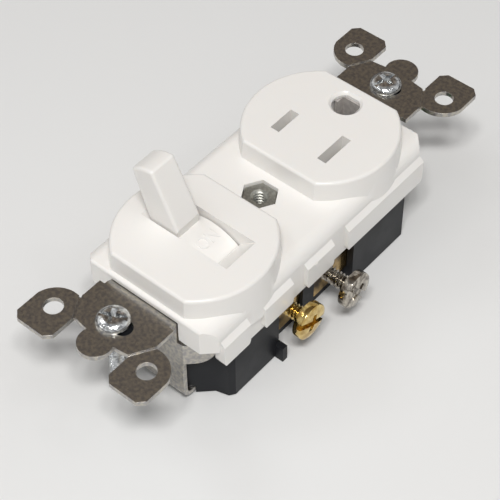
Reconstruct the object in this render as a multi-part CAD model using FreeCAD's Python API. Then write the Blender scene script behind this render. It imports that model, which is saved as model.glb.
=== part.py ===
# A combined toggle switch and three-hole outlet for a wall box, lying on its back.
#
# Frame: millimetres. The origin is the mouth of the middle threaded hole, level with the top of
# the strap's ears. +Z points out of the face, +Y runs along the strap to the outlet end, and +X
# to the side with the switched and the neutral terminal. The switch lever leans to -X: ON.
import FreeCAD, Part
import math
import os
from FreeCAD import Vector

# Driving dimensions

# Steel strap: one folded piece from ear to ear round the back of the housing
SHEET = 1.1                 # thickness of the strap
STRAP_HALF = 9.5            # half width of the plates, the end walls and the back run
WALL_INNER = 33.4           # inner face of each end wall, from the middle
BEND_INNER = 1.4            # inner radius of the four bends
BACK_FACE = -23.9           # outer face of the back run
NECK_HALF = 8.3             # half width of the bend and of the wall between the corner blocks
NECK_RELIEF = 0.2           # the neck starts this far out on the plate
PLATE_HOLE_X = 11.9         # wall-plate holes in the ears, from the middle
PLATE_HOLE_Y = 46.3
PLATE_HOLE_R = 2.0
EAR_LOBE_R = 4.6            # round lobe of an ear about its hole
EAR_REACH = 4.6             # outer side of an ear, from its hole
EAR_CHAMFER = 1.4
END_MARGIN = 6.4            # end edge of an ear, from its hole
JOINT_BACK = 4.9            # weakened line of an ear: its outer end, before the hole
JOINT_IN = 2.5              # and what the line covers across and along the strap
JOINT_ALONG = 4.3
TONGUE_SHIFT = 1.05         # centre of the round tongue, beyond the ears' holes
TONGUE_R = 3.6
MOUNT_Y = 41.67             # mounting slots, 83.3 apart
SLOT_HALF = 3.7             # half length of a mounting slot
SLOT_R = 1.95
SCORE_WIDE = 0.5            # scored groove along the weakened line
SCORE_DEEP = 0.35
WING_TOP = -6.3             # corner wings that wrap the housing's chamfers
WING_BOTTOM = -12.0
WING_REACH = 4.3            # how far a wing reaches along X
WING_ROUND = 4.2

# Moulded cover
COVER_HALF = 16.5           # half width over the skirt
BEND_COVER = 0.7            # the end faces stand this far beyond the end walls' inner faces
CORNER_X = 13.8             # start of the corner chamfer
CORNER_BACK = 2.6           # end of the corner chamfer, from the end face
COVER_TOP = 0.6             # top of the base between and around the faces
SKIRT_WALL = 1.3
ROOF = 1.7
SKIRT_BOTTOM = -10.4        # lower edge of the side skirts
SKIRT_CORNER = 2.0          # rounding of the skirts' lower corners
BLOCK_BOTTOM = -5.7         # lower edge of the four corner blocks
BLOCK_LONG = 3.0            # length of a corner block, from the end face
BLOCK_ROUND = 0.6
SIDE_ROUND = 3.0            # rounding between the base top and the sides
FACE_TOP = 5.2
FACE_Y = 19.35              # centres of the two round faces
FACE_R = 16.35
FACE_FLAT = 13.5            # half distance over the flats at the top
FACE_DRAFT = 0.35           # growth of the faces from top to base
FACE_ROUND = 0.7
STRAP_LIP = 0.6             # depth of the lip that covers the strap's bend
NOTCH_GAP = 0.25            # from the strap's neck to the corner blocks

# Ribs on the cover's sides: start and end along Y
RIBS = ((-31.1, -23.5), (-19.2, -10.5), (-6.2, 2.3), (6.7, 31.9))
RIB_PROUD = 1.0             # how far a rib stands out from the skirt
RIB_SHOULDER = -2.9         # where the bevelled top of a rib leaves the wall
RIB_EDGE = -4.05            # where the bevel meets the outer face
RIB_ROUND = 0.9
RIB_END_ROUND = 1.9         # rounding of the lower ends, which clears the screw heads

# Outlet openings
SLOT_X = 6.35               # blade slots, 12.7 apart
SLOT_Y = 15.65
HOT_SLOT = (2.2, 6.6)       # width and length
NEUTRAL_SLOT = (2.2, 8.2)
GROUND_Y = 27.6             # centre of the ground hole
GROUND_R = 2.95
GROUND_FLAT = 2.65          # the flat side, from the hole's centre
GROUND_LEAD = 0.6           # lead-in chamfer
CHIMNEY_WALL = 1.2

# Toggle and its recess
TOGGLE_X = -0.7             # middle of the recess and of the pivot
PIVOT_Z = -8.0
LEAN = 22.0                 # lever angle to the -X side at rest (ON)
RECESS_HALF = 10.9          # half length of the recess at the face
RECESS_Y = (-21.8, -13.3)
RECESS_WALL = 1.5           # plastic on both sides of the recess
RECESS_END = 1.0            # and beyond its ends
RAMP_FOOT = 6.9             # half distance between the ramps' lower edges
RAMP_BACK = 1.4             # plastic under the ramps
BRIDGE_HALF = 3.4           # blocks that hold the trunnions down
BRIDGE_LONG = 3.0
SKIRT_R = 11.65             # outer radius of the toggle's skirt
SKIRT_THICK = 1.5
SKIRT_HALF_ANGLE = 58.0
SKIRT_GAP = 0.3             # running gap round the skirt
LEVER_Y = (-21.5, -14.95)
LEVER_TIP = 27.95           # lever top above the pivot
LEVER_TIP_HALF = 2.85
LEVER_FOOT = 13.9           # height of the widest section above the pivot
LEVER_FOOT_HALF = 3.8
LEVER_NECK_HALF = 1.8       # half width where the lever enters the skirt
LEVER_ROUND = 0.7
LEVER_CROWN = 0.5           # rise of the crowned top
WEB_HALF = 2.2              # web between the hub and the skirt, at the hub
WEB_INSET = 1.2
HUB_R = 3.4
TRUNNION_R = 2.0
TRUNNION_LENGTH = 2.2
BEARING_GAP = 0.05
FOOT_R = 7.85               # reach of the cam foot below the pivot
FOOT_ANGLE = 50.0           # the cam foot leans this much to +X at rest
FOOT_HALF = 1.1
FOOT_INSET = 1.0            # from the foot's sides to the arm's sides

# Moulded housing
BODY_SETBACK = 0.5          # the housing's sides stand back this far from the skirt
BODY_NEAR = 27.7            # where the sides step in, switch end
BODY_FAR = 29.5             # and outlet end
CORNER_IN = 0.8             # the softened corner at the step, across
CORNER_ALONG = 1.2          # and along the sides
STEP_X = 12.4               # end chamfer of the housing
STEP_Y = 28.5
END_X = 7.5
BODY_FOOT = -24.9           # the rails, on which the device lies
BODY_LEDGE = -10.6          # the sides' upper edge, under the skirt
BODY_TOP = -1.3             # top of the inner part, under the cover's roof
FOOT_CHAMFER = 0.3
SADDLE_HALF = 3.0           # saddles under the trunnions
SADDLE_DEEP = 4.0
FIT = 0.1                   # seated clearance between moulded and pressed pieces
SIDE_RECESS_Y = (-13.2, 10.9)    # side recess for the terminals
RECESS_DEEP = 3.1           # depth of the recess, from the housing's side
BARRIER_BACK = 0.8          # the rib between the two terminals stands back this far
LUG_Y = (-14.3, -12.9)      # small lug low on the side
LUG_OUT = 2.0
LUG_HIGH = 4.1

# Terminals
TERMINAL_Z = -14.8
SWITCH_TERMINAL_Y = -8.9
OUTLET_TERMINAL_Y = 3.1
PLATE_BACK = 1.7            # outer faces of the terminal plates, behind the housing's side
PLATE = 1.0                 # thickness of the brass
PLATE_Z = (-20.6, -10.8)
SWITCH_PLATE_Y = (-12.0, -4.2)
OUTLET_PLATE_Y = (-1.6, 9.6)
THREAD_R = 1.75             # 6-32 thread, outer radius
THREAD_GAP = 0.02           # plain shanks stand clear of their plain bores by this
SCREW_GAP = 0.3             # clearance of a screw in a plain hole
HEAD_R = 4.1
HEAD_EDGE = 1.3             # straight edge of a terminal screw's head
HEAD_CROWN = 0.9
CROWN_RATIO = 0.72          # the crown's top radius, of the head's
POINT = 0.6                 # chamfer at a screw's tip
UNDER_HEAD = 9.5            # shank length below a terminal screw's head
SWITCHED_OUT = 5.3          # from the housing's side to the faces of the two visible heads,
NEUTRAL_OUT = 7.3           # which are both backed out
LINE_OUT = 2.6              # and to the two hidden heads on the far side
DRIVE_SLOT = 1.2
DRIVE_DEEP = 1.1
SCREW_BORE_END = 4.4        # the blind bores behind the terminal screws end here
FIN_Z = (-13.4, -11.2)      # break-off fin between the two line terminals
FIN_ROOM = 0.5              # room round the fin, for a pair of pliers

# Ground screw on the far end wall
GROUND_SCREW_X = 5.4
GROUND_SCREW_Z = -12.5
GROUND_HEAD_R = 4.3
GROUND_HEAD_FACE = 39.6
GROUND_SHANK = 6.6
COLLAR_R = 2.6              # extruded collar round its tapped hole
COLLAR_LONG = 1.0

# Mounting screws
MOUNT_HEAD_R = 3.45
MOUNT_HEAD_RIM = 0.5        # the oval head: straight rim, then two slopes
MOUNT_HEAD_STEPS = ((2.7, 1.35), (1.4, 1.85))    # radius and height of each slope's end
MOUNT_SHANK = 19.0
MOUNT_NECK = 2.4            # the plain neck between the head and the thread
MOUNT_NECK_R = 1.4
MOUNT_SLOT_DEEP = 0.8
MOUNT_TURN = 35.0           # how far the drive slots are turned
MOUNT_SHIFT = -0.8          # the switch-end screw stands off the middle of its slot

# Middle post
POST_FLATS = 6.7            # across flats
POST_BORE_DEPTH = 12.0
POST_SPIGOT_R = 2.4
POST_PEEN_R = 3.4
POST_PEEN = 0.6
HOLE_GAP = 0.15

# Contacts
LEAF = 0.7                  # thickness of a spring leaf
BLADE_GAP = 1.2             # free gap between two leaves: a 1.5 blade spreads them
LEAF_TOP = -2.6
FLARE = 0.5                 # the leaves open by this at the top
FLARE_LONG = 1.5
WEB_Z = -15.6               # underside of the contact webs
NEUTRAL_LEAF_Y = (12.0, 19.3)
HOT_LEAF_Y = (12.4, 18.9)
POCKET_GAP = 0.35
SPREAD = 1.0                # room for the leaves to spread
GROUND_LEAF_X = 2.3         # inner faces of the ground contact's side leaves
GROUND_BACK_Y = 29.9        # face of its back leaf
GROUND_LEAF_LONG = 2.0      # how far its side leaves reach forward
GROUND_LEAF_DEEP = 9.0
GROUND_DOWN = 1.4           # its upper edge lies this far below the face
GROUND_TAIL_Y = 25.6        # end of its foot on the back run
RIVET_R = 1.3
RIVET_MARGIN = 0.7          # from the rivet to the end of the foot
RIVET_HEAD = 0.6            # what the rivet's heads add to its radius
RIVET_HIGH = 0.5

# Switch works under the toggle
ARM_Z = -15.7               # middle height of the arm
ARM_PIVOT_X = 8.6
ARM_TIP_X = -11.4
ARM_TIP_ROUND = 1.2
ARM_THICK = 1.0
ARM_Y = (-21.0, -14.4)
BUTTON_X = -9.3
BUTTON_R = 1.9
BUTTON_HIGH = 0.8
BUTTON_EDGE = 0.35          # bevel of the silver faces
RIVETED = 0.4               # height of the buttons' riveted ends
CONTACT_PLAY = 0.05         # the two silver faces all but touch at rest
KNIFE_R = 0.7               # rolled edge on which the arm rocks
CRADLE_REACH = 1.4          # the cradle starts this far inside the pivot
CRADLE_LIP = 0.8            # thickness of its lip
CRADLE_PLAY = 0.15
CRADLE_HIGH = 0.6           # height of the lip above the arm's middle
SEAT_THICK = 1.0            # brass above the fixed contact
SPRING_X = -4.2
SPRING_R = 2.0
SPRING_WIRE = 0.28          # wire radius
SPRING_TURNS = 4
SPRING_STEPS = 12           # flat pieces in a turn of the coil
PEG_LONG = 1.0              # peg under the arm that holds the spring
CHAMBER_FLOOR = -21.6
CHAMBER_X = (-13.2, 11.8)
BEARING_Y = (-24.2, -10.9)  # ends of the trunnions' bearings
ROOM_GAP = 0.05             # the chamber is this much wider than the recess above it
ARC_GAP = 0.1               # and its arc wider than the cover's
ARC_DEEP = 6.5              # how far the arc reaches below the pivot

# Values worked out from the driving dimensions
MID = Vector(0, 0, 0)
X_AXIS = Vector(1, 0, 0)
Y_AXIS = Vector(0, 1, 0)
Z_AXIS = Vector(0, 0, 1)
REACH = 60.0                # longer than anything, for cutting tools
OVER = 1.0                  # how far a cutting tool passes a face
ROOT = 0.5                  # how far a piece reaches into the one that carries it
HALF = math.sqrt(0.5)       # sine and cosine of 45 degrees

WALL_OUTER = WALL_INNER + SHEET
BEND_OUTER = BEND_INNER + SHEET
PLATE_EDGE = WALL_INNER + BEND_OUTER
BACK_INNER = BACK_FACE + SHEET
STRAP_END_Y = PLATE_HOLE_Y + END_MARGIN
EAR_OUTER_X = PLATE_HOLE_X + EAR_REACH
TONGUE_Y = PLATE_HOLE_Y + TONGUE_SHIFT
JOINT_OUTER = (STRAP_HALF + 0.1, PLATE_HOLE_Y - JOINT_BACK)
JOINT_INNER = (JOINT_OUTER[0] - JOINT_IN, JOINT_OUTER[1] + JOINT_ALONG)
COVER_END = WALL_INNER + BEND_COVER
CORNER_Y = COVER_END - CORNER_BACK
BLOCK_Y = COVER_END - BLOCK_LONG
RIB_OUTER = COVER_HALF + RIB_PROUD
END_FACE = WALL_INNER - FIT
BODY_HALF = COVER_HALF - BODY_SETBACK
RECESS_X = BODY_HALF - RECESS_DEEP
BARRIER_X = BODY_HALF - BARRIER_BACK
BARRIER_Y = (SWITCH_TERMINAL_Y + HEAD_R + FIT, OUTLET_TERMINAL_Y - HEAD_R - FIT)
PLATE_FACE = BODY_HALF - PLATE_BACK
SWITCHED_FACE = BODY_HALF + SWITCHED_OUT
NEUTRAL_FACE = BODY_HALF + NEUTRAL_OUT
LINE_FACE = BODY_HALF + LINE_OUT
PLATE_X = (PLATE_FACE - PLATE, PLATE_FACE)
LUG_X = BODY_HALF + LUG_OUT
TOGGLE_Y = (RECESS_Y[0] + SKIRT_GAP, RECESS_Y[1] - SKIRT_GAP)
PIVOT = Vector(TOGGLE_X, 0, PIVOT_Z)
CHAMBER_R = SKIRT_R + SKIRT_GAP
CHANNEL_HALF = STRAP_HALF + FIT
GROUND_TOP = FACE_TOP - GROUND_DOWN
GROUND_POCKET_X = GROUND_LEAF_X + LEAF + POCKET_GAP
GROUND_POCKET_Y = GROUND_BACK_Y + LEAF + POCKET_GAP
RIVET_Y = GROUND_TAIL_Y + RIVET_R + RIVET_MARGIN
ARM_MID_Y = sum(ARM_Y) / 2
ARM_LOW = ARM_Z - ARM_THICK / 2
ARM_HIGH = ARM_Z + ARM_THICK / 2
SEAT_Z = ARM_HIGH + 2 * BUTTON_HIGH + CONTACT_PLAY
CRADLE_Z = ARM_Z - KNIFE_R - BEARING_GAP
SHANK_R = THREAD_R - THREAD_GAP


# Small builders

def box(x, y, z):
    """A box from three (low, high) ranges."""
    return Part.makeBox(x[1] - x[0], y[1] - y[0], z[1] - z[0], Vector(x[0], y[0], z[0]))


def grown(span, by):
    """A (low, high) range made longer at both ends."""
    return (span[0] - by, span[1] + by)


def rod(axis, centre, radius, low, high):
    """A cylinder along an axis between two coordinates, centred on the other two."""
    start = Vector(centre)
    if axis == X_AXIS:
        start.x = low
    elif axis == Y_AXIS:
        start.y = low
    else:
        start.z = low
    return Part.makeCylinder(radius, high - low, start, axis)


def wire(points, place):
    """A closed wire: a point is a corner, and a pair of points is an arc through the first."""
    edges = []
    here = place(points[0])
    for step in points[1:] + points[:1]:
        if isinstance(step[0], tuple):
            via = place(step[0])
            end = place(step[1])
            edges.append(Part.Arc(here, via, end).toShape())
        else:
            end = place(step)
            if end.distanceToPoint(here) > 1e-6:
                edges.append(Part.LineSegment(here, end).toShape())
        here = end
    return Part.Wire(edges)


def plan_prism(points, low, high):
    """An outline in X and Y, raised from low to high."""
    flat = Part.Face(wire(points, lambda p: Vector(p[0], p[1], low)))
    return flat.extrude(Vector(0, 0, high - low))


def side_prism(points, low, high):
    """An outline in X and Z, swept along Y from low to high."""
    flat = Part.Face(wire(points, lambda p: Vector(p[0], low, p[1])))
    return flat.extrude(Vector(0, high - low, 0))


def length_prism(points, low, high):
    """An outline in Y and Z, swept along X from low to high."""
    flat = Part.Face(wire(points, lambda p: Vector(low, p[0], p[1])))
    return flat.extrude(Vector(high - low, 0, 0))


def both_sides(shape):
    """The shape and its mirror image across the middle plane X = 0."""
    return shape.fuse(shape.mirror(MID, X_AXIS))


def both_ends(shape):
    """The shape and its mirror image across the middle plane Y = 0."""
    return shape.fuse(shape.mirror(MID, Y_AXIS))


def fused(shapes):
    """One shape out of several, with the seams between coplanar faces removed."""
    body = shapes[0]
    if len(shapes) > 1:
        body = body.fuse(list(shapes[1:]))
    return body.removeSplitter()


def soften(shape, radius, wanted):
    """Round the edges that the test picks by their centre and direction."""
    edges = []
    for edge in shape.Edges:
        first = edge.valueAt(edge.FirstParameter)
        last = edge.valueAt(edge.LastParameter)
        if wanted(edge.CenterOfMass, last - first):
            edges.append(edge)
    return shape.makeFillet(radius, edges)


def hexagon(half_flats, low, high):
    """A hexagonal prism with two flats facing along Y."""
    corner = half_flats / math.cos(math.radians(30))
    points = [(corner * math.cos(math.radians(60 * i)), corner * math.sin(math.radians(60 * i)))
              for i in range(6)]
    return plan_prism(points, low, high)


def corner_waste(y, z, radius):
    """What is cut off a +X side wall to round its lower corner at y, on the corner's +Y side."""
    block = box((0, REACH), (y - radius, y + OVER), (z - OVER, z + radius))
    return block.cut(rod(X_AXIS, (0, y - radius, z + radius), radius, 0, REACH))


# Strap

def strap_section():
    """The folded strip seen from the side, from one tongue's end to the other's."""
    out, inn = BEND_OUTER, BEND_INNER
    top = (PLATE_EDGE, -out)                     # centre of the top bend
    low = (WALL_OUTER - out, BACK_FACE + out)    # centre of the bottom bend
    path = [
        (-STRAP_END_Y, 0),
        (-top[0], 0),
        ((-top[0] + out * HALF, top[1] + out * HALF), (-WALL_INNER, top[1])),
        (-WALL_INNER, low[1]),
        ((-low[0] - inn * HALF, low[1] - inn * HALF), (-low[0], BACK_INNER)),
        (low[0], BACK_INNER),
        ((low[0] + inn * HALF, low[1] - inn * HALF), (WALL_INNER, low[1])),
        (WALL_INNER, top[1]),
        ((top[0] - out * HALF, top[1] + out * HALF), (top[0], 0)),
        (STRAP_END_Y, 0),
        (STRAP_END_Y, -SHEET),
        (top[0], -SHEET),
        ((top[0] - inn * HALF, top[1] + inn * HALF), (WALL_OUTER, top[1])),
        (WALL_OUTER, low[1]),
        ((low[0] + out * HALF, low[1] - out * HALF), (low[0], BACK_FACE)),
        (-low[0], BACK_FACE),
        ((-low[0] - out * HALF, low[1] - out * HALF), (-WALL_OUTER, low[1])),
        (-WALL_OUTER, top[1]),
        ((-top[0] + inn * HALF, top[1] + inn * HALF), (-top[0], -SHEET)),
        (-STRAP_END_Y, -SHEET),
    ]
    return length_prism(path, -EAR_OUTER_X, EAR_OUTER_X)


def ear_outline():
    """One break-off ear, at +X and +Y."""
    turn = math.radians(-60)
    via = (PLATE_HOLE_X + EAR_LOBE_R * math.cos(turn), PLATE_HOLE_Y + EAR_LOBE_R * math.sin(turn))
    return [
        JOINT_OUTER,
        (via, (EAR_OUTER_X, PLATE_HOLE_Y - ROOT)),
        (EAR_OUTER_X, STRAP_END_Y - EAR_CHAMFER),
        (EAR_OUTER_X - EAR_CHAMFER, STRAP_END_Y),
        (JOINT_INNER[0] + EAR_CHAMFER, STRAP_END_Y),
        (JOINT_INNER[0], STRAP_END_Y - EAR_CHAMFER),
        JOINT_INNER,
    ]


def strap_plan():
    """The outline that the flat blank has, seen from above."""
    low, high = BACK_FACE - OVER, OVER
    start = JOINT_OUTER[1]
    waist = JOINT_INNER[1] + ROOT
    middle = plan_prism([(-STRAP_HALF, -start), (STRAP_HALF, -start), (STRAP_HALF, start),
                         (-STRAP_HALF, start)], low, high)
    shoulder = plan_prism(
        [(-STRAP_HALF, start - OVER), (STRAP_HALF, start - OVER), JOINT_OUTER, JOINT_INNER,
         (TONGUE_R, waist), (-TONGUE_R, waist), (-JOINT_INNER[0], JOINT_INNER[1]),
         (-JOINT_OUTER[0], JOINT_OUTER[1])], low, high)
    tongue = rod(Z_AXIS, (0, TONGUE_Y, 0), TONGUE_R, low, high)
    ear = plan_prism(ear_outline(), low, high)
    return fused([middle, both_ends(shoulder), both_ends(tongue), both_ends(both_sides(ear))])


def wing():
    """A tab at +X and +Y, bent back round the housing's chamfered corner."""
    skew = SHEET * math.tan(math.radians(22.5))
    root = STRAP_HALF - OVER
    start = STRAP_HALF - 0.2
    tip_x = start + WING_REACH
    tip_y = WALL_INNER - WING_REACH
    side = SHEET * HALF
    body = plan_prism(
        [(root, WALL_INNER), (start, WALL_INNER), (tip_x, tip_y), (tip_x + side, tip_y + side),
         (start + skew, WALL_OUTER), (root, WALL_OUTER)], WING_BOTTOM, WING_TOP)
    return soften(body, WING_ROUND, lambda c, d: c.x > tip_x and abs(c.z - WING_BOTTOM) < 0.01
                  and abs(d.x - d.y) < 0.01 * d.Length)


def score():
    """The groove on top of the strap where the ear at +X and +Y breaks off."""
    size = math.hypot(JOINT_IN, JOINT_ALONG)
    groove = Part.makeBox(size + 2 * OVER, SCORE_WIDE, SCORE_DEEP * 2,
                          Vector(-OVER, -SCORE_WIDE / 2, -SCORE_DEEP))
    groove.rotate(MID, Z_AXIS, math.degrees(math.atan2(JOINT_ALONG, -JOINT_IN)))
    groove.translate(Vector(JOINT_OUTER[0], JOINT_OUTER[1], 0))
    return groove


def slot_cut():
    """The mounting slot at +Y, long across the strap."""
    low, high = -SHEET - OVER, OVER
    straight = SLOT_HALF - SLOT_R
    ends = [rod(Z_AXIS, (x, MOUNT_Y, 0), SLOT_R, low, high) for x in (-straight, straight)]
    middle = box((-straight, straight), (MOUNT_Y - SLOT_R, MOUNT_Y + SLOT_R), (low, high))
    return fused(ends + [middle])


def make_strap():
    """The folded strap with its ears, slots, wings and tapped collar."""
    body = strap_section().common(strap_plan())
    collar = rod(Y_AXIS, (GROUND_SCREW_X, 0, GROUND_SCREW_Z), COLLAR_R, WALL_INNER - COLLAR_LONG,
                 WALL_INNER + SHEET / 2)
    body = fused([body, both_ends(both_sides(wing())), collar])
    waist = box((NECK_HALF, STRAP_HALF + OVER), (WALL_INNER - OVER, PLATE_EDGE + NECK_RELIEF),
                (WING_TOP, OVER))
    hole = rod(Z_AXIS, (PLATE_HOLE_X, PLATE_HOLE_Y, 0), PLATE_HOLE_R, -SHEET - OVER, OVER)
    through = (BACK_FACE - OVER, BACK_INNER + OVER)
    cuts = [
        both_ends(both_sides(hole)),
        both_ends(both_sides(score())),
        both_ends(slot_cut()),
        both_ends(both_sides(waist)),
        rod(Z_AXIS, MID, POST_SPIGOT_R, *through),
        rod(Z_AXIS, (0, RIVET_Y, 0), RIVET_R, *through),
        rod(Y_AXIS, (GROUND_SCREW_X, 0, GROUND_SCREW_Z), THREAD_R,
            WALL_INNER - COLLAR_LONG - OVER, WALL_OUTER + OVER),
    ]
    return body.cut(fused(cuts))


# Cover

def face_block(side, grow, top):
    """A drafted round face with two flats; grow widens it all round."""
    radius = FACE_R + grow
    flat = FACE_FLAT + grow
    middle = side * FACE_Y
    low = BLOCK_BOTTOM
    extra = (top - low) * FACE_DRAFT / (FACE_TOP - COVER_TOP)
    cone = Part.makeCone(radius + extra, radius, top - low, Vector(0, middle, low))
    points = [(middle - flat - extra, low), (middle + flat + extra, low), (middle + flat, top),
              (middle - flat, top)]
    return cone.common(length_prism(points, -REACH, REACH))


def base_plan(shrink):
    """The cover's base seen from above, with its chamfered corners."""
    chamfer_shift = shrink * math.tan(math.radians(22.5))
    half = COVER_HALF - shrink
    end = COVER_END - shrink
    cx = CORNER_X - chamfer_shift
    cy = CORNER_Y - chamfer_shift
    return [(-cx, -end), (cx, -end), (half, -cy), (half, cy), (cx, end), (-cx, end),
            (-half, cy), (-half, -cy)]


def side_section(shrink, low, high):
    """The cover's base seen from the end: a box with two rounded upper edges."""
    half = COVER_HALF - shrink
    r = SIDE_ROUND - shrink
    k = 1 - HALF
    return [(-half, low), (half, low), (half, high - r),
            ((half - r * k, high - r * k), (half - r, high)),
            (-half + r, high),
            ((-half + r * k, high - r * k), (-half, high - r))]


def rib(low, high):
    """A rib on the +X side, with a bevelled top and rounded lower corners."""
    inner = COVER_HALF - SKIRT_WALL / 2
    k = 1 - HALF
    r = RIB_ROUND
    body = side_prism(
        [(inner, RIB_SHOULDER), (COVER_HALF, RIB_SHOULDER), (RIB_OUTER, RIB_EDGE),
         (RIB_OUTER, SKIRT_BOTTOM + r),
         ((RIB_OUTER - r * k, SKIRT_BOTTOM + r * k), (RIB_OUTER - r, SKIRT_BOTTOM)),
         (inner, SKIRT_BOTTOM)], low, high)
    near = corner_waste(-low, SKIRT_BOTTOM, RIB_END_ROUND).mirror(MID, Y_AXIS)
    far = corner_waste(high, SKIRT_BOTTOM, RIB_END_ROUND)
    return body.cut(near).cut(far)


def cover_shell():
    """The outer form and the hollow of the cover, before the openings."""
    plan = plan_prism(base_plan(0), SKIRT_BOTTOM, COVER_TOP)
    section = side_prism(side_section(0, SKIRT_BOTTOM, COVER_TOP), -REACH, REACH)
    outer = plan.common(section)
    outer = soften(outer, BLOCK_ROUND, lambda c, d: abs(c.z - COVER_TOP) < 0.01
                   and abs(c.y) > CORNER_Y and abs(d.z) < 0.01)
    faces = []
    for side in (-1, 1):
        face = face_block(side, 0, FACE_TOP)
        faces.append(soften(face, FACE_ROUND, lambda c, d: abs(c.z - FACE_TOP) < 0.01))
    outer = fused([outer] + faces)
    low, high = SKIRT_BOTTOM - OVER, COVER_TOP - ROOF
    hollow = plan_prism(base_plan(SKIRT_WALL), low, high)
    hollow = hollow.common(side_prism(side_section(SKIRT_WALL, low, high), -REACH, REACH))
    for side in (-1, 1):
        hollow = hollow.fuse(face_block(side, -ROOF, FACE_TOP - ROOF))
    return outer.cut(hollow)


def blade_slots():
    """The middle and the size of each blade slot."""
    return ((-SLOT_X, HOT_SLOT), (SLOT_X, NEUTRAL_SLOT))


def chimneys():
    """Walls that guide the blades and the ground pin from the face to the contacts."""
    span = (BODY_TOP + FIT, FACE_TOP - ROOF / 2)
    walls = []
    for x, size in blade_slots():
        half_x = size[0] / 2 + CHIMNEY_WALL
        half_y = size[1] / 2 + CHIMNEY_WALL
        walls.append(box((x - half_x, x + half_x), (SLOT_Y - half_y, SLOT_Y + half_y), span))
    half = GROUND_POCKET_X + CHIMNEY_WALL
    walls.append(box((-half, half),
                     (GROUND_Y - GROUND_R - CHIMNEY_WALL, GROUND_POCKET_Y + CHIMNEY_WALL), span))
    return walls


def ground_opening():
    """The ground hole: round towards the slots, flat on the far side, with a lead-in."""
    low, high = BODY_TOP - OVER, FACE_TOP + OVER
    flat = GROUND_Y + GROUND_FLAT
    hole = rod(Z_AXIS, (0, GROUND_Y, 0), GROUND_R, low, high)
    hole = hole.common(box((-REACH, REACH), (-REACH, flat), (low, high)))
    mouth = FACE_TOP - GROUND_LEAD
    lead = Part.makeCone(GROUND_R, GROUND_R + GROUND_LEAD, GROUND_LEAD, Vector(0, GROUND_Y, mouth))
    keep = length_prism([(-REACH, mouth), (flat, mouth), (flat + GROUND_LEAD, FACE_TOP),
                         (-REACH, FACE_TOP)], -REACH, REACH)
    return hole.fuse(lead.common(keep))


def ground_room(low, high):
    """The room round the ground contact's leaves, in the cover and in the housing."""
    return box((-GROUND_POCKET_X, GROUND_POCKET_X),
               (GROUND_TAIL_Y - POCKET_GAP, GROUND_POCKET_Y), (low, high))


def recess_cut():
    """The toggle's recess: upright long walls and sloping ramps at both ends."""
    foot_z = PIVOT_Z + math.sqrt(CHAMBER_R ** 2 - RAMP_FOOT ** 2)
    slope = (RECESS_HALF - RAMP_FOOT) / (FACE_TOP - foot_z)
    top = RECESS_HALF + slope * OVER
    outline = [(RAMP_FOOT, foot_z - OVER), (RAMP_FOOT, foot_z), (top, FACE_TOP + OVER),
               (-top, FACE_TOP + OVER), (-RAMP_FOOT, foot_z), (-RAMP_FOOT, foot_z - OVER)]
    return side_prism([(TOGGLE_X + x, z) for x, z in outline], RECESS_Y[0], RECESS_Y[1])


def toggle_walls():
    """Solid plastic round the recess that carries the ramps and the upper bearings."""
    y = grown(RECESS_Y, RECESS_WALL)
    z = (BODY_TOP + FIT, FACE_TOP - ROOF / 2)
    ramps = rod(Y_AXIS, PIVOT, CHAMBER_R + RAMP_BACK, *y).common(box((-REACH, REACH), y, z))
    half = RECESS_HALF + RECESS_END
    ends = box((TOGGLE_X - half, TOGGLE_X + half), y, z)
    bridges = box((TOGGLE_X - BRIDGE_HALF, TOGGLE_X + BRIDGE_HALF), grown(RECESS_Y, BRIDGE_LONG),
                  (PIVOT_Z + BEARING_GAP, z[1]))
    return fused([ramps, ends, bridges])


def make_cover():
    """The white moulded top: shell, recess, outlet openings, corner blocks and ribs."""
    body = fused([cover_shell(), toggle_walls()] + chimneys())
    chamber = rod(Y_AXIS, PIVOT, CHAMBER_R, *RECESS_Y)
    bearing = rod(Y_AXIS, PIVOT, TRUNNION_R + BEARING_GAP, *BEARING_Y)
    cuts = [chamber, bearing, recess_cut(), ground_opening(),
            ground_room(BODY_TOP - OVER, GROUND_TOP + FIT),
            hexagon(POST_FLATS / 2 + HOLE_GAP, SKIRT_BOTTOM, COVER_TOP + OVER)]
    for x, size in blade_slots():
        cuts.append(box((x - size[0] / 2, x + size[0] / 2),
                        (SLOT_Y - size[1] / 2, SLOT_Y + size[1] / 2),
                        (BODY_TOP - OVER, FACE_TOP + OVER)))
    notch_half = NECK_HALF + NOTCH_GAP
    notch = box((-notch_half, notch_half), (COVER_END - SKIRT_WALL - FIT, REACH),
                (SKIRT_BOTTOM - OVER, -STRAP_LIP))
    raised = box((-REACH, REACH), (BLOCK_Y, REACH), (SKIRT_BOTTOM - OVER, BLOCK_BOTTOM))
    corner = both_sides(corner_waste(BLOCK_Y, SKIRT_BOTTOM, SKIRT_CORNER))
    cuts += [both_ends(notch), both_ends(raised), both_ends(corner)]
    body = body.cut(fused(cuts))
    ribs = fused([rib(low, high) for low, high in RIBS])
    return fused([body, both_sides(ribs)])


# Housing

def corner_points(inset, end):
    """The housing's outline from its side to its end, at +X and +Y; inset shrinks it."""
    half = BODY_HALF - inset
    slant = inset * math.tan(math.radians(22.5))
    step_y = STEP_Y + (end - BODY_NEAR) / 2
    return [
        (half, end - inset - CORNER_ALONG),
        (half - CORNER_IN, end - inset),
        (STEP_X - slant, step_y - slant),
        (END_X - slant, END_FACE - inset),
    ]


def body_plan(inset):
    """The housing's whole outline below the cover."""
    near = [(x, -y) for x, y in reversed(corner_points(inset, BODY_NEAR))]
    right = near + corner_points(inset, BODY_FAR)
    return right + [(-x, y) for x, y in reversed(right)]


def loft_between(low_points, low_z, high_points, high_z):
    """A solid between two outlines with the same number of corners."""
    lower = wire(low_points, lambda p: Vector(p[0], p[1], low_z))
    upper = wire(high_points, lambda p: Vector(p[0], p[1], high_z))
    return Part.makeLoft([lower, upper], True, True)


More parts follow.
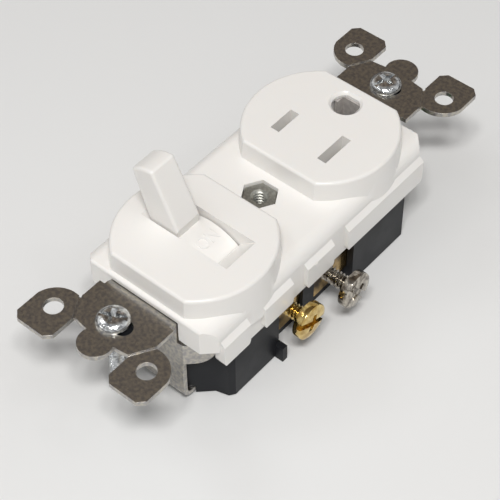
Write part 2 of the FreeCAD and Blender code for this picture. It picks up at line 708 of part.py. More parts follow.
def inside_cover():
    """The part of the housing that fills the cover, with room for the wings at its corners."""
    shrink = SKIRT_WALL + FIT
    plan = plan_prism(base_plan(shrink), BLOCK_BOTTOM, BODY_TOP)
    section = side_section(shrink, BLOCK_BOTTOM - OVER, BODY_TOP)
    top = plan.common(side_prism(section, -REACH, REACH))
    low = BODY_LEDGE - ROOT
    inset = plan_prism(base_plan(shrink), low, BLOCK_BOTTOM)
    core = plan_prism(body_plan(0), low, BLOCK_BOTTOM)
    below = core.common(core.mirror(MID, Y_AXIS)).common(inset)
    tongue_half = NECK_HALF + NOTCH_GAP - FIT
    end = box((-tongue_half, tongue_half), (BODY_NEAR, END_FACE), (BODY_LEDGE, BODY_TOP))
    return fused([top, below, both_ends(end)])


def barriers():
    """The ribs that keep the two terminals of a side apart."""
    wall = box((RECESS_X - ROOT, BARRIER_X), BARRIER_Y, (BODY_FOOT + FOOT_CHAMFER, BODY_LEDGE))
    return both_sides(wall)


def lug():
    """The small fin low on the +X side, beside the switched terminal."""
    return box((BODY_HALF - ROOT, LUG_X), LUG_Y, (BODY_FOOT, BODY_FOOT + LUG_HIGH))


def lower_bearings():
    """Two saddles that carry the trunnions from below."""
    inner = grown(RECESS_Y, ROOM_GAP)
    saddles = []
    for y in ((BEARING_Y[0], inner[0]), (inner[1], BEARING_Y[1])):
        block = box((TOGGLE_X - SADDLE_HALF, TOGGLE_X + SADDLE_HALF), y,
                    (PIVOT_Z - SADDLE_DEEP, PIVOT_Z - FIT))
        groove = rod(Y_AXIS, PIVOT, TRUNNION_R + BEARING_GAP, *grown(y, OVER))
        saddles.append(block.cut(groove))
    return fused(saddles)


def strap_channel():
    """The channel for the back run, with rounded ends for the bends."""
    top = BACK_INNER + FIT
    centre = (WALL_INNER - BEND_INNER, BACK_INNER + BEND_INNER)
    arc = (BEND_INNER - FIT) * HALF
    points = [(-REACH, BODY_FOOT - OVER), (REACH, BODY_FOOT - OVER), (REACH, centre[1]),
              (END_FACE, centre[1]),
              ((centre[0] + arc, centre[1] - arc), (centre[0], top)),
              (-centre[0], top),
              ((-centre[0] - arc, centre[1] - arc), (-END_FACE, centre[1])),
              (-REACH, centre[1])]
    return length_prism(points, -CHANNEL_HALF, CHANNEL_HALF)


def switch_chamber():
    """The room under the toggle for the skirt, the arm and the spring."""
    top = BODY_TOP + OVER
    y = grown(RECESS_Y, ROOM_GAP)
    room = box(CHAMBER_X, y, (CHAMBER_FLOOR, top))
    arc = rod(Y_AXIS, PIVOT, CHAMBER_R + ARC_GAP, *y)
    arc = arc.common(box((-REACH, REACH), y, (PIVOT_Z - ARC_DEEP, REACH)))
    half = BRIDGE_HALF + FIT
    bridge = box((TOGGLE_X - half, TOGGLE_X + half), grown(RECESS_Y, BRIDGE_LONG + FIT),
                 (PIVOT_Z, top))
    bearing = rod(Y_AXIS, PIVOT, TRUNNION_R + BEARING_GAP, *BEARING_Y)
    return fused([room, arc, bridge, bearing])


def blade_pockets():
    """Pockets for the two blade contacts, open at the top."""
    inner = SLOT_X - BLADE_GAP / 2 - LEAF - SPREAD
    outer = PLATE_FACE + POCKET_GAP
    z = (WEB_Z - FIT, BODY_TOP + OVER)
    neutral = box((inner, outer), grown(NEUTRAL_LEAF_Y, POCKET_GAP), z)
    hot = box((-outer, -inner), grown(HOT_LEAF_Y, POCKET_GAP), z)
    return [neutral, hot]


def terminal_cuts():
    """The side recesses, the plates' slots and the clearance bores behind the screws."""
    top = BODY_TOP + OVER
    recess = box((RECESS_X, BODY_HALF + OVER), SIDE_RECESS_Y, (BODY_FOOT - OVER, BODY_LEDGE))
    keep = box((RECESS_X - OVER, BARRIER_X), BARRIER_Y, (BODY_FOOT, BODY_LEDGE + OVER))
    seat = grown(PLATE_X, FIT)
    low = PLATE_Z[0] - FIT
    slots = fused([
        box(seat, grown(SWITCH_PLATE_Y, FIT), (low, top)),
        box(seat, grown((OUTLET_PLATE_Y[0], NEUTRAL_LEAF_Y[1]), FIT), (low, top)),
    ])
    cuts = [both_sides(recess.cut(keep)), both_sides(slots)]
    gap = (SWITCH_PLATE_Y[1] - OVER, OUTLET_PLATE_Y[0] + OVER)
    cuts.append(box((-seat[1], -seat[0]), gap, (FIN_Z[0] - FIT, top)))
    cuts.append(box((-BODY_HALF, -seat[0]), BARRIER_Y, grown(FIN_Z, FIN_ROOM)))
    arm_side = (ARM_Y[0] - FIT, SWITCH_PLATE_Y[0] + FIT)
    cuts.append(box((ARM_PIVOT_X - CRADLE_REACH - FIT, seat[1]), arm_side,
                    (CRADLE_Z - PLATE - FIT, top)))
    cuts.append(box((-seat[1], BUTTON_X + BUTTON_R + FIT), arm_side, (SEAT_Z - FIT, top)))
    for y in (SWITCH_TERMINAL_Y, OUTLET_TERMINAL_Y):
        bore = rod(X_AXIS, (0, y, TERMINAL_Z), THREAD_R + SCREW_GAP, SCREW_BORE_END, BODY_HALF)
        cuts.append(both_sides(bore))
    return cuts


def ground_screw_cuts():
    """Room behind the far end wall for the tapped collar and the ground screw's tip."""
    centre = (GROUND_SCREW_X, 0, GROUND_SCREW_Z)
    return [
        rod(Y_AXIS, centre, COLLAR_R + SCREW_GAP, WALL_INNER - COLLAR_LONG - SCREW_GAP, REACH),
        rod(Y_AXIS, centre, THREAD_R + SCREW_GAP, WALL_INNER - GROUND_SHANK, REACH),
    ]


def make_housing():
    """The black moulded base with every pocket for what it holds."""
    edge = BODY_FOOT + FOOT_CHAMFER
    low = plan_prism(body_plan(0), edge, BODY_LEDGE)
    foot = loft_between(body_plan(FOOT_CHAMFER), BODY_FOOT, body_plan(0), edge)
    body = fused([foot, low, inside_cover(), barriers()])
    cuts = [strap_channel(), switch_chamber(), ground_room(BACK_INNER - OVER, BODY_TOP + OVER),
            hexagon(POST_FLATS / 2 + HOLE_GAP, BODY_FOOT - OVER, BODY_TOP + OVER)]
    cuts += blade_pockets() + terminal_cuts() + ground_screw_cuts()
    body = body.cut(fused(cuts))
    return fused([body, lug(), lower_bearings()])


# Middle post

def make_centre_post():
    """The hexagon post, riveted to the back run, with the threaded hole's plain bore."""
    body = hexagon(POST_FLATS / 2, BACK_INNER, 0)
    spigot = rod(Z_AXIS, MID, POST_SPIGOT_R, BACK_FACE, BACK_INNER)
    peen = Part.makeCone(POST_PEEN_R - POST_PEEN, POST_PEEN_R, POST_PEEN,
                         Vector(0, 0, BACK_FACE - POST_PEEN))
    bore = rod(Z_AXIS, MID, THREAD_R, -POST_BORE_DEPTH, OVER)
    return fused([body, spigot, peen]).cut(bore)


# Toggle

def lever_outline():
    """The lever's side view in its upright position, from its neck in the skirt to its tip."""
    middle_r = SKIRT_R - SKIRT_THICK / 2
    neck_z = math.sqrt(middle_r ** 2 - LEVER_NECK_HALF ** 2)
    shoulder = LEVER_TIP - LEVER_CROWN
    return [(-LEVER_NECK_HALF, neck_z), (LEVER_NECK_HALF, neck_z),
            (LEVER_FOOT_HALF, LEVER_FOOT), (LEVER_TIP_HALF, shoulder),
            ((0, LEVER_TIP), (-LEVER_TIP_HALF, shoulder)),
            (-LEVER_FOOT_HALF, LEVER_FOOT)]


def make_toggle():
    """The upright moulding is built about the pivot and then leaned over to ON."""
    y0, y1 = TOGGLE_Y
    span = math.radians(SKIRT_HALF_ANGLE)
    ring = rod(Y_AXIS, MID, SKIRT_R, y0, y1).cut(rod(Y_AXIS, MID, SKIRT_R - SKIRT_THICK, y0, y1))
    sector = side_prism([(0, 0), (REACH * math.sin(span), REACH * math.cos(span)),
                         (-REACH * math.sin(span), REACH * math.cos(span))], y0, y1)
    top = SKIRT_R - SKIRT_THICK / 2
    web = side_prism([(-WEB_HALF, 0), (WEB_HALF, 0), (LEVER_NECK_HALF, top),
                      (-LEVER_NECK_HALF, top)], y0 + WEB_INSET, y1 - WEB_INSET)
    lever = side_prism(lever_outline(), *LEVER_Y)
    lever = soften(lever, LEVER_ROUND, lambda c, d: c.z > LEVER_FOOT + OVER)
    hub = rod(Y_AXIS, MID, HUB_R, y0, y1)
    trunnions = rod(Y_AXIS, MID, TRUNNION_R, *grown(TOGGLE_Y, TRUNNION_LENGTH))
    foot_y = grown(ARM_Y, -FOOT_INSET)
    toe_z = -FOOT_R + FOOT_HALF
    foot = box((-FOOT_HALF, FOOT_HALF), foot_y, (toe_z, 0))
    foot = foot.fuse(rod(Y_AXIS, (0, 0, toe_z), FOOT_HALF, *foot_y))
    foot.rotate(MID, Y_AXIS, -(FOOT_ANGLE - LEAN))
    body = fused([ring.common(sector), web, lever, hub, trunnions, foot])
    body.rotate(MID, Y_AXIS, -LEAN)
    body.translate(PIVOT)
    return body


# Contacts of the switch

def make_contact_arm():
    """The moving arm: a stiff leaf with a rolled rocking edge at its +X end."""
    leaf = box((ARM_TIP_X, ARM_PIVOT_X), ARM_Y, (ARM_LOW, ARM_HIGH))
    leaf = soften(leaf, ARM_TIP_ROUND,
                  lambda c, d: abs(d.z) > 0.9 * ARM_THICK and abs(c.x - ARM_TIP_X) < 0.01)
    roll = rod(Y_AXIS, (ARM_PIVOT_X, 0, ARM_Z), KNIFE_R, *ARM_Y)
    hole = rod(Z_AXIS, (BUTTON_X, ARM_MID_Y, 0), BUTTON_R / 2, ARM_LOW - OVER, ARM_HIGH + OVER)
    peg = rod(Z_AXIS, (SPRING_X, ARM_MID_Y, 0), SPRING_R - SPRING_WIRE * 2 - FIT,
              ARM_LOW - PEG_LONG, ARM_LOW + FIT)
    return fused([leaf, roll, peg]).cut(hole)


def button(root, face):
    """A silver head with a bevelled face, about the arm's button axis."""
    sign = math.copysign(1, face - root)
    bevel = face - sign * BUTTON_EDGE
    straight = rod(Z_AXIS, (BUTTON_X, ARM_MID_Y, 0), BUTTON_R, min(root, bevel), max(root, bevel))
    slope = Part.makeCone(BUTTON_R, BUTTON_R - BUTTON_EDGE, BUTTON_EDGE,
                          Vector(BUTTON_X, ARM_MID_Y, bevel), Vector(0, 0, sign))
    return [straight, slope]


def button_tail(low, high, disc):
    """The shank of a silver rivet, and the riveted disc (low, high) at its end."""
    axis = (BUTTON_X, ARM_MID_Y, 0)
    return [rod(Z_AXIS, axis, BUTTON_R / 2, low, high), rod(Z_AXIS, axis, BUTTON_R * 0.75, *disc)]


def make_moving_contact():
    """The silver rivet through the arm."""
    tail = ARM_LOW - RIVETED
    return fused(button(ARM_HIGH, ARM_HIGH + BUTTON_HIGH)
                 + button_tail(tail, ARM_HIGH, (tail, ARM_LOW)))


def make_fixed_contact():
    """The silver rivet under the line strip's seat."""
    top = SEAT_Z + SEAT_THICK
    return fused(button(SEAT_Z, SEAT_Z - BUTTON_HIGH)
                 + button_tail(SEAT_Z, top + RIVETED, (top, top + RIVETED)))


def make_spring():
    """The coil under the arm, drawn as short straight pieces of hexagonal wire."""
    low = CHAMBER_FLOOR + BEARING_GAP + SPRING_WIRE
    rise = ARM_LOW - SPRING_WIRE - low
    radius = SPRING_R - SPRING_WIRE
    count = SPRING_TURNS * SPRING_STEPS
    rings = []
    for i in range(count + 1):
        turn = 2 * math.pi * i / SPRING_STEPS
        out = Vector(math.cos(turn), math.sin(turn), 0)
        centre = Vector(SPRING_X, ARM_MID_Y, low + rise * i / count) + out * radius
        corners = []
        for j in range(6):
            a = math.pi * j / 3
            corners.append(centre + out * (SPRING_WIRE * math.cos(a))
                           + Z_AXIS * (SPRING_WIRE * math.sin(a)))
        rings.append(Part.makePolygon(corners + corners[:1]))
    return Part.makeLoft(rings, True, True)


# Terminal pieces

def make_switched_terminal():
    """The +X brass plate of the switch, with the cradle in which the arm rocks."""
    plate = box(PLATE_X, SWITCH_PLATE_Y, PLATE_Z)
    shelf = (CRADLE_Z - PLATE, CRADLE_Z)
    run = box((ARM_PIVOT_X - CRADLE_REACH, PLATE_FACE), (ARM_Y[0], SWITCH_PLATE_Y[0]), shelf)
    root = box(PLATE_X, (SWITCH_PLATE_Y[0] - PLATE, SWITCH_PLATE_Y[0] + PLATE), shelf)
    lip_x = ARM_PIVOT_X + KNIFE_R + CRADLE_PLAY
    lip = box((lip_x, lip_x + CRADLE_LIP), ARM_Y, (CRADLE_Z - PLATE, ARM_Z + CRADLE_HIGH))
    hole = rod(X_AXIS, (0, SWITCH_TERMINAL_Y, TERMINAL_Z), THREAD_R, ARM_PIVOT_X, REACH)
    return fused([plate, run, root, lip]).cut(hole)


def blade_leaves(x, span):
    """Two spring leaves that wipe a blade, open at the top, over the span along Y."""
    inner = BLADE_GAP / 2
    bend = LEAF_TOP - FLARE_LONG
    leaves = []
    for sign in (-1, 1):
        near = x + sign * inner
        far = near + sign * LEAF
        flare = sign * FLARE
        points = [(near, WEB_Z), (far, WEB_Z), (far, bend), (far + flare, LEAF_TOP),
                  (near + flare, LEAF_TOP), (near, bend)]
        leaves.append(side_prism(points, *span))
    return leaves


def contact_web(span):
    """The brass at the bottom of a blade contact, out to its plate, on the +X side."""
    return box((SLOT_X - BLADE_GAP / 2 - LEAF, PLATE_FACE), span, (WEB_Z, WEB_Z + PLATE))


def make_neutral_contact():
    """The +X brass plate of the outlet with its blade contact."""
    plate = box(PLATE_X, (OUTLET_PLATE_Y[0], NEUTRAL_LEAF_Y[1]), PLATE_Z)
    hole = rod(X_AXIS, (0, OUTLET_TERMINAL_Y, TERMINAL_Z), THREAD_R, SLOT_X, REACH)
    leaves = blade_leaves(SLOT_X, NEUTRAL_LEAF_Y)
    return fused([plate, contact_web(NEUTRAL_LEAF_Y)] + leaves).cut(hole)


def make_line_contact():
    """One brass strip on the -X side: two terminals, break-off fin, hot contact, fixed seat."""
    outlet = box(PLATE_X, (OUTLET_PLATE_Y[0], HOT_LEAF_Y[1]), PLATE_Z)
    switch = box(PLATE_X, SWITCH_PLATE_Y, PLATE_Z)
    fin = box(PLATE_X, (SWITCH_PLATE_Y[1] - ROOT, OUTLET_PLATE_Y[0] + ROOT), FIN_Z)
    shelf = (SEAT_Z, SEAT_Z + SEAT_THICK)
    seat = box((-BUTTON_X - BUTTON_R, PLATE_FACE), (ARM_Y[0], SWITCH_PLATE_Y[0]), shelf)
    root = box(PLATE_X, (SWITCH_PLATE_Y[0] - PLATE, SWITCH_PLATE_Y[0] + PLATE), shelf)
    leaves = blade_leaves(SLOT_X, HOT_LEAF_Y)
    body = fused([outlet, switch, fin, contact_web(HOT_LEAF_Y), seat, root] + leaves)
    cuts = [rod(X_AXIS, (0, y, TERMINAL_Z), THREAD_R, SLOT_X, REACH)
            for y in (SWITCH_TERMINAL_Y, OUTLET_TERMINAL_Y)]
    cuts.append(rod(Z_AXIS, (-BUTTON_X, ARM_MID_Y, 0), BUTTON_R / 2, *grown(shelf, OVER)))
    return body.cut(fused(cuts)).mirror(MID, X_AXIS)


def make_ground_contact():
    """Three steel leaves round the ground pin, standing on a foot on the strap's back run."""
    outer = GROUND_LEAF_X + LEAF
    far = GROUND_BACK_Y + LEAF
    low = BACK_INNER
    back = box((-outer, outer), (GROUND_BACK_Y, far), (low, GROUND_TOP))
    foot = box((-outer, outer), (GROUND_TAIL_Y, far), (low, low + LEAF))
    side = box((GROUND_LEAF_X, outer), (GROUND_BACK_Y - GROUND_LEAF_LONG, far),
               (GROUND_TOP - GROUND_LEAF_DEEP, GROUND_TOP))
    hole = rod(Z_AXIS, (0, RIVET_Y, 0), RIVET_R, low - OVER, low + LEAF + OVER)
    return fused([back, foot, both_sides(side)]).cut(hole)


def make_ground_rivet():
    """The rivet that holds the ground contact's foot to the back run."""
    low, high = BACK_FACE, BACK_INNER + LEAF
    centre = (0, RIVET_Y, 0)
    shank = rod(Z_AXIS, centre, RIVET_R, low - RIVET_HIGH, high + RIVET_HIGH)
    heads = [rod(Z_AXIS, centre, RIVET_R + RIVET_HEAD, low - RIVET_HIGH, low),
             rod(Z_AXIS, centre, RIVET_R + RIVET_HEAD, high, high + RIVET_HIGH)]
    return fused([shank] + heads)


# Screws

def binding_screw(head_r, length):
    """A crowned, slotted screw along +X with its head's outer face at x = 0."""
    under = -HEAD_EDGE - HEAD_CROWN
    tip = under - length
    edge = rod(X_AXIS, MID, head_r, under, -HEAD_CROWN)
    crown = Part.makeCone(head_r, head_r * CROWN_RATIO, HEAD_CROWN, Vector(-HEAD_CROWN, 0, 0),
                          X_AXIS)
    shank = rod(X_AXIS, MID, SHANK_R, tip + POINT, under)
    point = Part.makeCone(SHANK_R - POINT, SHANK_R, POINT, Vector(tip, 0, 0), X_AXIS)
    slot = box((-DRIVE_DEEP, OVER), (-REACH, REACH), (-DRIVE_SLOT / 2, DRIVE_SLOT / 2))
    return fused([edge, crown, shank, point]).cut(slot)


def terminal_screw(face, y, turn):
    """A terminal screw at its place on the +X side, with its slot turned."""
    body = binding_screw(HEAD_R, UNDER_HEAD)
    body.rotate(MID, X_AXIS, turn)
    body.translate(Vector(face, y, TERMINAL_Z))
    return body


def make_switched_screw():
    """The brass screw of the switched terminal, backed out."""
    return terminal_screw(SWITCHED_FACE, SWITCH_TERMINAL_Y, 20)


def make_neutral_screw():
    """The nickel screw of the neutral terminal, backed out further."""
    return terminal_screw(NEUTRAL_FACE, OUTLET_TERMINAL_Y, 65)


def make_line_screw_switch():
    """The brass line screw beside the switch, on the -X side."""
    return terminal_screw(LINE_FACE, SWITCH_TERMINAL_Y, 40).mirror(MID, X_AXIS)


def make_line_screw_outlet():
    """The brass line screw beside the outlet, on the -X side."""
    return terminal_screw(LINE_FACE, OUTLET_TERMINAL_Y, -15).mirror(MID, X_AXIS)


def make_ground_screw():
    """The green screw in the strap's far end wall."""
    body = binding_screw(GROUND_HEAD_R, GROUND_SHANK)
    body.rotate(MID, Z_AXIS, 90)
    body.translate(Vector(GROUND_SCREW_X, GROUND_HEAD_FACE, GROUND_SCREW_Z))
    return body


def mounting_screw(x, y):
    """An oval-headed screw that stands in a mounting slot, its head on the strap."""
    solids = [rod(Z_AXIS, MID, MOUNT_HEAD_R, 0, MOUNT_HEAD_RIM)]
    radius, height = MOUNT_HEAD_R, MOUNT_HEAD_RIM
    for next_radius, next_height in MOUNT_HEAD_STEPS:
        solids.append(Part.makeCone(radius, next_radius, next_height - height,
                                    Vector(0, 0, height)))
        radius, height = next_radius, next_height
    solids.append(rod(Z_AXIS, MID, MOUNT_NECK_R, -MOUNT_NECK, 0))
    solids.append(rod(Z_AXIS, MID, SHANK_R, -MOUNT_SHANK + POINT, -MOUNT_NECK))
    solids.append(Part.makeCone(SHANK_R - POINT, SHANK_R, POINT, Vector(0, 0, -MOUNT_SHANK)))
    slot = box((-REACH, REACH), (-DRIVE_SLOT / 2, DRIVE_SLOT / 2),
               (height - MOUNT_SLOT_DEEP, height + OVER))
    body = fused(solids).cut(slot)
    body.rotate(MID, Z_AXIS, MOUNT_TURN)
    body.translate(Vector(x, y, 0))
    return body


def make_mounting_screw_switch_end():
    """The box screw beside the switch."""
    return mounting_screw(MOUNT_SHIFT, -MOUNT_Y)


def make_mounting_screw_outlet_end():
    """The box screw beside the outlet."""
    return mounting_screw(0, MOUNT_Y)


NODES = {
    "cover": make_cover,
    "housing": make_housing,
    "strap": make_strap,
    "centre_post": make_centre_post,
    "toggle_lever": make_toggle,
    "contact_arm": make_contact_arm,
    "moving_contact": make_moving_contact,
    "fixed_contact": make_fixed_contact,
    "contact_spring": make_spring,
    "switched_terminal": make_switched_terminal,
    "neutral_contact": make_neutral_contact,
    "line_contact": make_line_contact,
    "ground_contact": make_ground_contact,
    "ground_rivet": make_ground_rivet,
    "ground_screw": make_ground_screw,
    "switched_screw": make_switched_screw,
    "neutral_screw": make_neutral_screw,
    "line_screw_switch": make_line_screw_switch,
    "line_screw_outlet": make_line_screw_outlet,
    "mounting_screw_switch_end": make_mounting_screw_switch_end,
    "mounting_screw_outlet_end": make_mounting_screw_outlet_end,
}

os.makedirs("parts", exist_ok=True)
for name, make in NODES.items():
    shape = make()
    solids = shape.Solids
    if len(solids) == 1:
        shape = solids[0]
    shape.exportStep(os.path.join("parts", name + ".step"))
    size = shape.BoundBox
    print(f"{name}: solids {len(solids)}, volume {shape.Volume:.1f}, valid {shape.isValid()}, "
          f"x {size.XMin:.2f}..{size.XMax:.2f}, y {size.YMin:.2f}..{size.YMax:.2f}, "
          f"z {size.ZMin:.2f}..{size.ZMax:.2f}")
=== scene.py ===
# %% [markdown]
# # A combined toggle switch and socket, dressed for its portrait
#
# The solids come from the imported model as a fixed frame. This file adds what a solid can't
# hold: softened edges, screw threads, drive recesses, raised lettering and finishes. All
# lengths are in metres, in the frame of the model: +Z out of the face, +Y to the socket end.

# %% Load the frame
import math
from functools import partial

import bmesh
import bpy
from mathutils import Matrix, Vector


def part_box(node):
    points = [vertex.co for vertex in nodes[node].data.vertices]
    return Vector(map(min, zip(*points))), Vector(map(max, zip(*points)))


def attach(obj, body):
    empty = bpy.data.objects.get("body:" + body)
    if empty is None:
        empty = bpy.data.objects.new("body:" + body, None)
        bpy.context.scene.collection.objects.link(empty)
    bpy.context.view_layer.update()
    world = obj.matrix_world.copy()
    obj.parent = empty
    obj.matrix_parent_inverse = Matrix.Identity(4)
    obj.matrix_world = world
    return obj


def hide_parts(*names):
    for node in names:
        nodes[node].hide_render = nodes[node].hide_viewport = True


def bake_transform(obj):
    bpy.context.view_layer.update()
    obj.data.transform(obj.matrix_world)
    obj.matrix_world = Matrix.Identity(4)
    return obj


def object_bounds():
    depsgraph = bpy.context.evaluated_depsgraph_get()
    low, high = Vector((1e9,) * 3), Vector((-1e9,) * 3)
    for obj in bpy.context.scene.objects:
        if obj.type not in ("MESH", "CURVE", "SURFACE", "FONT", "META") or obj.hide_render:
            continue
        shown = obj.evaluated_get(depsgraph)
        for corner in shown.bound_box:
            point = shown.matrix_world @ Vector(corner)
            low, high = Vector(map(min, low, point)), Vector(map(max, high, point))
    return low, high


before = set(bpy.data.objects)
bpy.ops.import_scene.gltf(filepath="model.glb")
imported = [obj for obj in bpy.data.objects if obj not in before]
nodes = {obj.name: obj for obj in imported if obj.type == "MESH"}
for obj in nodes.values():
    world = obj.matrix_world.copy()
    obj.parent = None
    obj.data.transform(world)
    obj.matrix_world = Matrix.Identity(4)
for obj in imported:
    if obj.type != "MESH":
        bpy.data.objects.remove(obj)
cad_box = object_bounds()
MM = 0.001

# %% Object helpers


def placed(name, data):
    """A new object in the scene, at the origin."""
    made = bpy.data.objects.new(name, data)
    bpy.context.scene.collection.objects.link(made)
    return made


def plain_mesh(piece):
    """The mesh of an object as its modifiers leave it."""
    graph = bpy.context.evaluated_depsgraph_get()
    graph.update()
    return bpy.data.meshes.new_from_object(piece.evaluated_get(graph))


def coated(mesh, material):
    """The same mesh with one material on all of it."""
    mesh.materials.clear()
    mesh.materials.append(material)
    return mesh


def declared(piece, body, slot, *replaced):
    """Says which body a piece rides on and hides the nodes it stands for; the slot argument is
    not used.
    """
    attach(piece, body)
    if replaced:
        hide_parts(*replaced)
    print(piece.name, len(piece.data.polygons), "faces")
    return piece


def direction_of(azimuth, elevation):
    """The direction of an azimuth from -Y towards +X and an elevation, both in degrees."""
    a, e = math.radians(azimuth), math.radians(elevation)
    return Vector((math.sin(a) * math.cos(e), -math.cos(a) * math.cos(e), math.sin(e)))


# %% [markdown]
# ## Camera
#
# The photograph was taken with a long lens from above and to the right of the switch end. The
# camera stands where the known screw spacing and slot spacing put it, so the outline of every
# piece falls where it does in the photograph.

# %% Camera
CAMERA_AZIMUTH = 40.511
CAMERA_ELEVATION = 49.347
CAMERA_ROLL = math.radians(-0.544)
CAMERA_DISTANCE = 312.303 * MM
CAMERA_AIM = Vector((7.619 * MM, -12.010 * MM, 0))
SENSOR_WIDTH = 36               # millimetres, as the lens is
CAMERA_LENS = 1613.329 / 500 * SENSOR_WIDTH     # focal length over picture width, in pixels

camera_data = bpy.data.cameras.new("portrait_camera")
camera_data.sensor_width = SENSOR_WIDTH
camera_data.lens = CAMERA_LENS
camera_data.clip_start = 0.01
camera_data.clip_end = 30
camera = placed("portrait_camera", camera_data)
back = direction_of(CAMERA_AZIMUTH, CAMERA_ELEVATION)
right = (-back).cross(Vector((0, 0, 1))).normalized()
up = right.cross(-back)
cos_roll, sin_roll = math.cos(CAMERA_ROLL), math.sin(CAMERA_ROLL)
right, up = right * cos_roll + up * sin_roll, up * cos_roll - right * sin_roll
turn = Matrix((right, up, back)).transposed().to_4x4()
camera.matrix_world = Matrix.Translation(CAMERA_AIM + back * CAMERA_DISTANCE) @ turn
bpy.context.scene.camera = camera
print("camera at", [round(c, 4) for c in camera.location])


# %% [markdown]
# ## Node helpers
#
# Shader, world and Geometry Nodes trees share the same few steps: a sum, a change of range, a
# mix of two colours. Each has a function that adds the node and gives its output.

# %% Node helpers


def new_material(name):
    """A node material with its node tree and its principled shader."""
    material = bpy.data.materials.new(name)
    material.use_nodes = True
    tree = material.node_tree
    return material, tree, tree.nodes["Principled BSDF"]


def calculated(tree, operation, *values):
    """The result of a math node on sockets and numbers."""
    node = tree.nodes.new("ShaderNodeMath")
    node.operation = operation
    for socket, value in zip(node.inputs, values):
        if isinstance(value, (int, float)):
            socket.default_value = value
        else:
            tree.links.new(value, socket)
    return node.outputs[0]


def span(tree, value, low, high, to_low=0, to_high=1, kind="LINEAR"):
    """A value moved from one range to another, clamped at both ends."""
    node = tree.nodes.new("ShaderNodeMapRange")
    node.interpolation_type = kind
    for name, number in (("From Min", low), ("From Max", high), ("To Min", to_low),
                         ("To Max", to_high)):
        node.inputs[name].default_value = number
    tree.links.new(value, node.inputs["Value"])
    return node.outputs["Result"]


def mixed(tree, share, first, second):
    """A colour between two others, which are colours or sockets."""
    node = tree.nodes.new("ShaderNodeMix")
    node.data_type = "RGBA"
    for socket, colour in (("A", first), ("B", second)):
        if isinstance(colour, tuple):
            node.inputs[socket].default_value = (*colour, 1)
        else:
            tree.links.new(colour, node.inputs[socket])
    tree.links.new(share, node.inputs["Factor"])
    return node.outputs["Result"]


def noise(tree, scale, detail=2.0, rough=0.5, stretch=(1, 1, 1)):
    """A noise pattern on Object coordinates; scale is in features per metre."""
    coordinates = tree.nodes.new("ShaderNodeTexCoord")
    mapping = tree.nodes.new("ShaderNodeMapping")
    mapping.inputs["Scale"].default_value = stretch
    pattern = tree.nodes.new("ShaderNodeTexNoise")
    pattern.inputs["Scale"].default_value = scale
    pattern.inputs["Detail"].default_value = detail
    pattern.inputs["Roughness"].default_value = rough
    tree.links.new(coordinates.outputs["Object"], mapping.inputs["Vector"])
    tree.links.new(mapping.outputs["Vector"], pattern.inputs["Vector"])
    return pattern.outputs["Fac"]


def bumped(tree, shader, heights, strength, distance):
    """Small relief on the shader's normal."""
    bump = tree.nodes.new("ShaderNodeBump")
    bump.inputs["Strength"].default_value = strength
    bump.inputs["Distance"].default_value = distance
    tree.links.new(heights, bump.inputs["Height"])
    tree.links.new(bump.outputs["Normal"], shader.inputs["Normal"])


# %% [markdown]
# ## Floor, lamps and room
#
# The device lies on a pale table top. Three round lamps stand in a row above the camera: they
# make the small round highlights on the polished screws and the soft shadow under the ears. A
# large fill lamp on the left softens that shadow, and three weak, small ones only put glints on
# the metal. The room is pale above a darker skirting, which the sides of the screws mirror, and
# it has a dark side beyond the table, which is what the flat steel ears mirror.

# %% Floor
FLOOR_Z = cad_box[0].z
FLOOR_HALF = 3.0
TABLE_COLOUR = (0.80, 0.805, 0.805)

floor_mesh = bpy.data.meshes.new("table_top")
floor_mesh.from_pydata([(x * FLOOR_HALF, y * FLOOR_HALF, FLOOR_Z)
                        for x, y in ((-1, -1), (1, -1), (1, 1), (-1, 1))],
                       [], [(0, 1, 2, 3)])
placed("table_top", floor_mesh)
table_finish, _, table_shader = new_material("table_finish")
table_shader.inputs["Base Color"].default_value = (*TABLE_COLOUR, 1)
table_shader.inputs["Roughness"].default_value = 0.6
table_shader.inputs["Specular IOR Level"].default_value = 0.2
coated(floor_mesh, table_finish)
print("floor at z", round(FLOOR_Z, 5))

# %% Lamps


def round_lamp(name, azimuth, elevation, distance, diameter, power, shift=0.0, tint=(1, 1, 1)):
    """A disc lamp aimed at the device; shift moves it sideways."""
    data = bpy.data.lights.new(name, "AREA")
    data.shape = "DISK"
    data.size = diameter
    data.energy = power
    data.color = tint
    lamp = placed(name, data)
    away = direction_of(azimuth, elevation)
    side = away.cross(Vector((0, 0, 1))).normalized()
    lamp.location = away * distance + side * shift
    lamp.rotation_mode = "QUATERNION"
    lamp.rotation_quaternion = lamp.location.normalized().to_track_quat("Z", "Y")


ROW_STEP = 0.085
for place in (-1, 0, 1):
    round_lamp(f"row_lamp_{place + 1}", 40, 61, 0.75, 0.07, 1.16, shift=place * ROW_STEP,
               tint=(1.0, 0.985, 0.965))
round_lamp("left_fill", -66, 50, 0.9, 0.25, 0.55, tint=(0.97, 0.985, 1.0))
for name, azimuth, elevation in (("near", -22, 56), ("far", 102, 56), ("low", -30, 24)):
    round_lamp(f"{name}_glint", azimuth, elevation, 0.75, 0.045, 0.10)

# %% Room
SKIRTING = (0.07, 0.065, 0.06)
WALL_LOW, WALL_HIGH = (0.86, 0.865, 0.87), (0.34, 0.345, 0.35)
CAST_LOW, CAST_HIGH = (0.06, 0.06, 0.06), (0.90, 0.905, 0.91)
DARK_COLOUR = (0.168, 0.138, 0.112)
DARK_AZIMUTH, DARK_ELEVATION = 220, 52
DARK_CORE, DARK_RIM = 26, 47    # degrees from the middle of the dark side

